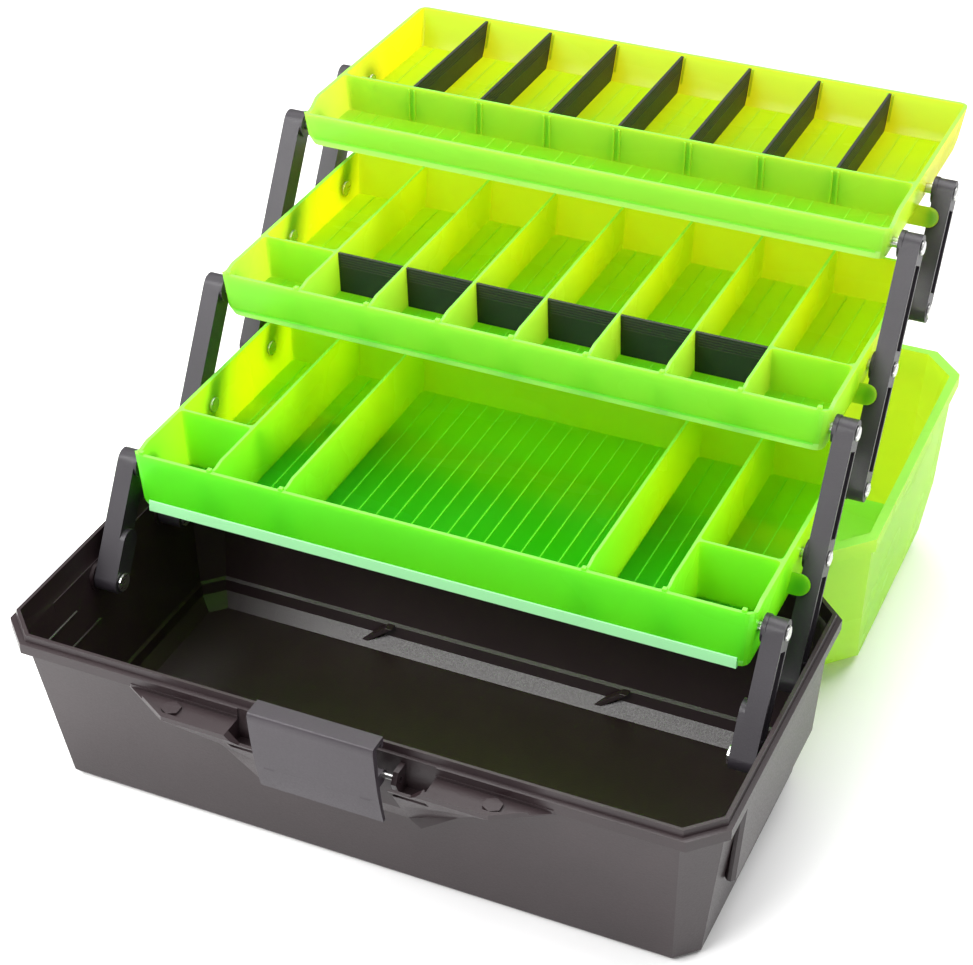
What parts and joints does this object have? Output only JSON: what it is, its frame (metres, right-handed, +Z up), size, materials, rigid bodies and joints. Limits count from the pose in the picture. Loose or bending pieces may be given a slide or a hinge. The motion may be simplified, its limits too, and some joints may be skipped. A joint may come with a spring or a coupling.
{
  "type": "fishing tackle box",
  "caption": "Fishing tackle box with cantilever trays on folding arms, removable dividers, a hinged lid with a carrying handle and a front latch.",
  "frame": {"origin": "middle of the underside of the base tub", "axes": "+X to the right seen from the latch side, +Y from the latch to the rear hinge, +Z up"},
  "size_m": [0.424, 0.5316, 0.287],
  "materials": {
    "charcoal_plastic": "moulded polypropylene with a satin sheen",
    "latch_plastic": "fine-grained satin moulding",
    "arm_plastic": "satin nylon moulding",
    "black_plastic": "matt black moulding",
    "green_plastic": "frosted translucent bright green",
    "lid_plastic": "translucent yellow-green",
    "steel": "plated rivets and pins"
  },
  "bodies": {
    "base": {"base_tub": "charcoal_plastic", "latch_pin": "steel", "hinge_pin_right": "steel", "hinge_pin_left": "steel", "base_pivot_pin_1_right": "steel", "base_pivot_pin_1_left": "steel", "base_pivot_pin_2_right": "steel", "base_pivot_pin_2_left": "steel"},
    "latch": {"latch": "latch_plastic"},
    "lid": {"lid": "lid_plastic", "handle_pin_right": "steel", "handle_pin_left": "steel"},
    "handle": {"handle": "black_plastic"},
    "lower_rear_arms": {"lower_rear_arm_right": "arm_plastic", "lower_rear_arm_left": "arm_plastic"},
    "lower_front_arms": {"lower_front_arm_right": "arm_plastic", "lower_front_arm_left": "arm_plastic"},
    "lower_tray": {"lower_tray": "green_plastic", "lower_tray_rivet_1_right": "steel", "lower_tray_rivet_1_left": "steel", "lower_tray_rivet_2_right": "steel", "lower_tray_rivet_2_left": "steel", "lower_tray_rivet_3_right": "steel", "lower_tray_rivet_3_left": "steel"},
    "middle_tray": {"middle_tray": "green_plastic", "middle_divider_1": "black_plastic", "middle_divider_2": "black_plastic", "middle_divider_3": "black_plastic", "middle_divider_4": "black_plastic", "middle_divider_5": "black_plastic", "middle_divider_6": "black_plastic", "middle_tray_rivet_1_right": "steel", "middle_tray_rivet_1_left": "steel", "middle_tray_rivet_2_right": "steel", "middle_tray_rivet_2_left": "steel", "middle_tray_rivet_3_right": "steel", "middle_tray_rivet_3_left": "steel"},
    "upper_front_arms": {"upper_front_arm_right": "arm_plastic", "upper_front_arm_left": "arm_plastic"},
    "upper_tray": {"upper_tray": "green_plastic", "upper_divider_1": "black_plastic", "upper_divider_2": "black_plastic", "upper_divider_3": "black_plastic", "upper_divider_4": "black_plastic", "upper_divider_5": "black_plastic", "upper_divider_6": "black_plastic", "upper_divider_7": "black_plastic", "upper_tray_rivet_1_right": "steel", "upper_tray_rivet_1_left": "steel", "upper_tray_rivet_2_right": "steel", "upper_tray_rivet_2_left": "steel"},
    "upper_rear_arms": {"upper_rear_arm_right": "arm_plastic", "upper_rear_arm_left": "arm_plastic"}
  },
  "joints": [
    {"name": "trays_fold", "type": "hinge", "parent": "base", "child": "lower_rear_arms", "pos_m": [0, 0.0545, 0.0885], "axis": [1, 0, 0], "range_deg": [0, 93.5]},
    {"name": "lower_front_arm_turn", "type": "hinge", "parent": "base", "child": "lower_front_arms", "pos_m": [0, -0.018, 0.0885], "axis": [1, 0, 0], "range_deg": [0, 93.5]},
    {"name": "lower_tray_turn", "type": "hinge", "parent": "lower_rear_arms", "child": "lower_tray", "pos_m": [0, 0.09, 0.149], "axis": [1, 0, 0], "range_deg": [-93.5, 0]},
    {"name": "middle_tray_turn", "type": "hinge", "parent": "lower_rear_arms", "child": "middle_tray", "pos_m": [0, 0.1255, 0.2095], "axis": [1, 0, 0], "range_deg": [-93.5, 0]},
    {"name": "upper_front_arm_turn", "type": "hinge", "parent": "lower_tray", "child": "upper_front_arms", "pos_m": [0, 0.1625, 0.149], "axis": [1, 0, 0], "range_deg": [0, 93.5]},
    {"name": "upper_tray_turn", "type": "hinge", "parent": "upper_front_arms", "child": "upper_tray", "pos_m": [0, 0.2335, 0.27], "axis": [1, 0, 0], "range_deg": [-93.5, 0]},
    {"name": "upper_rear_arm_turn", "type": "hinge", "parent": "middle_tray", "child": "upper_rear_arms", "pos_m": [0, 0.2705, 0.2095], "axis": [1, 0, 0], "range_deg": [0, 93.5]},
    {"name": "lid_hinge", "type": "hinge", "parent": "base", "child": "lid", "pos_m": [0, 0.1245, 0.116], "axis": [1, 0, 0], "range_deg": [0, 17]},
    {"name": "handle_lift", "type": "hinge", "parent": "lid", "child": "handle", "pos_m": [0, 0.24178, 0.01321], "axis": [1, 0, 0], "range_deg": [-95, 0]},
    {"name": "latch_turn", "type": "hinge", "parent": "base", "child": "latch", "pos_m": [0, -0.1165, 0.0975], "axis": [1, 0, 0], "range_deg": [-28, 30]}
  ],
  "couplings": [
    {"joint": "lower_front_arm_turn", "follows": "trays_fold", "ratio": 1},
    {"joint": "lower_tray_turn", "follows": "trays_fold", "ratio": -1},
    {"joint": "middle_tray_turn", "follows": "trays_fold", "ratio": -1},
    {"joint": "upper_front_arm_turn", "follows": "trays_fold", "ratio": 1},
    {"joint": "upper_tray_turn", "follows": "trays_fold", "ratio": -1},
    {"joint": "upper_rear_arm_turn", "follows": "trays_fold", "ratio": 1}
  ]
}
